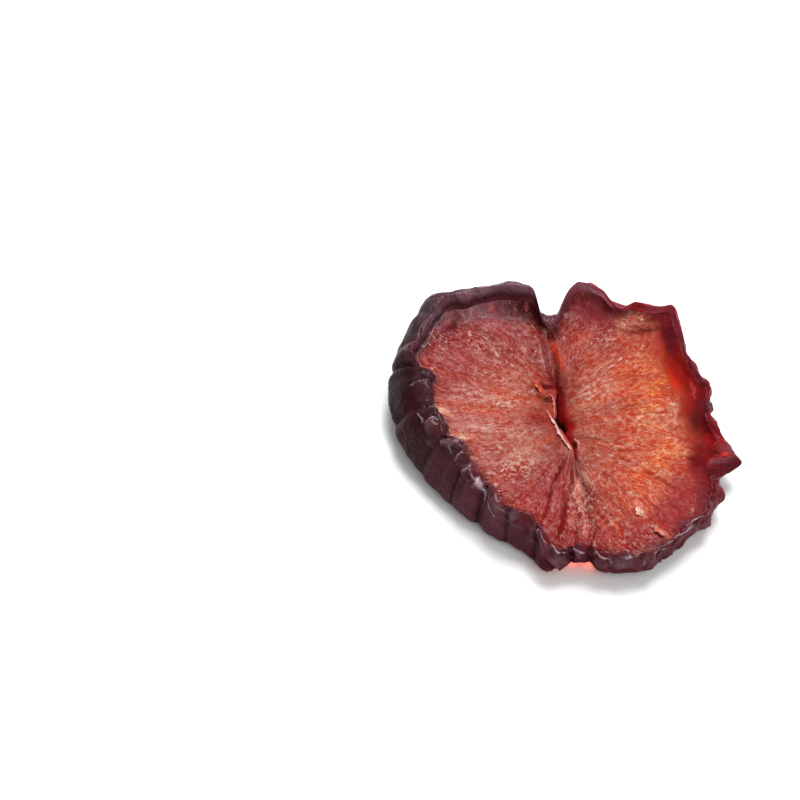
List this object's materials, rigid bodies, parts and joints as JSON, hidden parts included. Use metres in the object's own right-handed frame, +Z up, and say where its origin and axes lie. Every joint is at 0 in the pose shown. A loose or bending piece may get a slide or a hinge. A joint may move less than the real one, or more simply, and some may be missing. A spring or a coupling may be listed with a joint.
{
  "type": "dried plum slice",
  "caption": "Dried plum slice: red flesh whose fibres run out from the slit left by the stone, held in a dark, pleated rim of skin.",
  "frame": {"origin": "on the surface that the slice rests on, under the middle of its bounding box", "axes": "+Z up out of the cut face; -Y towards the low front rim; +X towards the pointed fold of the rim"},
  "size_m": [0.0481, 0.0468, 0.0096],
  "materials": {
    "dried_plum": "satin, leathery"
  },
  "bodies": {
    "root": {"plum_slice": "dried_plum"}
  },
  "joints": []
}
